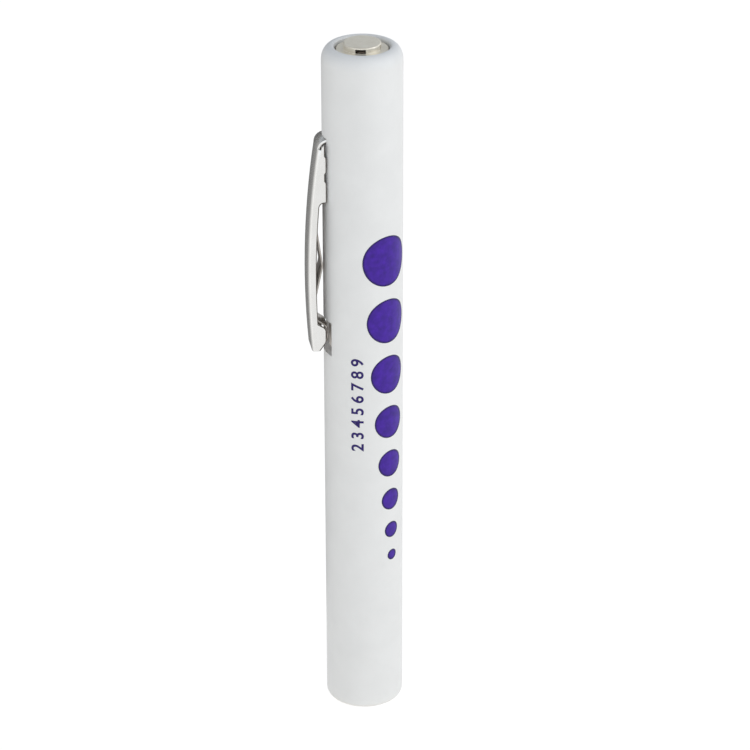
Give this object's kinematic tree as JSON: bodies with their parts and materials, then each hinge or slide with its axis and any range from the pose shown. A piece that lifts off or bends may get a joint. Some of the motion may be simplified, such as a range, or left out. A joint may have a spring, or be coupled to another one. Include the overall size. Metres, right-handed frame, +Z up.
{
  "type": "penlight",
  "caption": "Slim white penlight with a sprung metal pocket clip that is squeezed against the barrel to light the lamp, and a metal cap pressed out of the tail by a coil spring.",
  "frame": {"origin": "centre of the front rim, on the barrel's axis", "axes": "+Z up along the barrel from the lens to the tail, -X towards the pocket clip"},
  "size_m": [0.0163, 0.0134, 0.1229],
  "materials": {
    "barrel_plastic": "moulded satin white",
    "clip_nickel": "satin nickel plate on spring steel",
    "leaf_steel": "dull brown spring steel",
    "cap_nickel": "nickel plate on stamped steel",
    "brass_sheet": "drawn sheet",
    "contact_brass": "tinned brass strip",
    "lamp_glass": "clear lens-end glass",
    "bead_glass": "fused glass bead",
    "black_glass": "pressed black glass",
    "bright_wire": "nickel wire",
    "tungsten": "coiled tungsten",
    "solder": "cast solder",
    "cell_steel": "nickel plate",
    "cell_jacket": "plain shrink film",
    "cell_seal": "moulded nylon",
    "spring_wire": "oiled spring wire"
  },
  "bodies": {
    "light": {"barrel": "barrel_plastic", "lamp_socket": "brass_sheet", "lamp_glass": "lamp_glass", "lamp_bead": "bead_glass", "lamp_posts": "bright_wire", "lamp_filament": "tungsten", "lamp_shell": "brass_sheet", "lamp_insulator": "black_glass", "lamp_tip": "solder", "conductor_strip": "contact_brass", "tail_lead": "contact_brass", "front_cell_can": "cell_steel", "front_cell_jacket": "cell_jacket", "front_cell_seal": "cell_seal", "front_cell_plate": "cell_steel", "rear_cell_can": "cell_steel", "rear_cell_jacket": "cell_jacket", "rear_cell_seal": "cell_seal", "rear_cell_plate": "cell_steel", "tail_spring": "spring_wire"},
    "clip": {"pocket_clip": "clip_nickel", "clip_leaf": "leaf_steel"},
    "cap": {"tail_cap": "cap_nickel"}
  },
  "joints": [
    {"name": "clip_squeeze", "type": "hinge", "parent": "light", "child": "clip", "pos_m": [-0.00605, 0, 0.10685], "axis": [0, -1, 0], "range_deg": [-3, 0.65], "stiffness_Nm_per_rad": 3},
    {"name": "tail_cap_press", "type": "slide", "parent": "light", "child": "cap", "axis": [0, 0, -1], "range_m": [0, 0.001], "stiffness_N_per_m": 500, "springref_m": -0.003, "deforming": ["tail_spring"]}
  ]
}
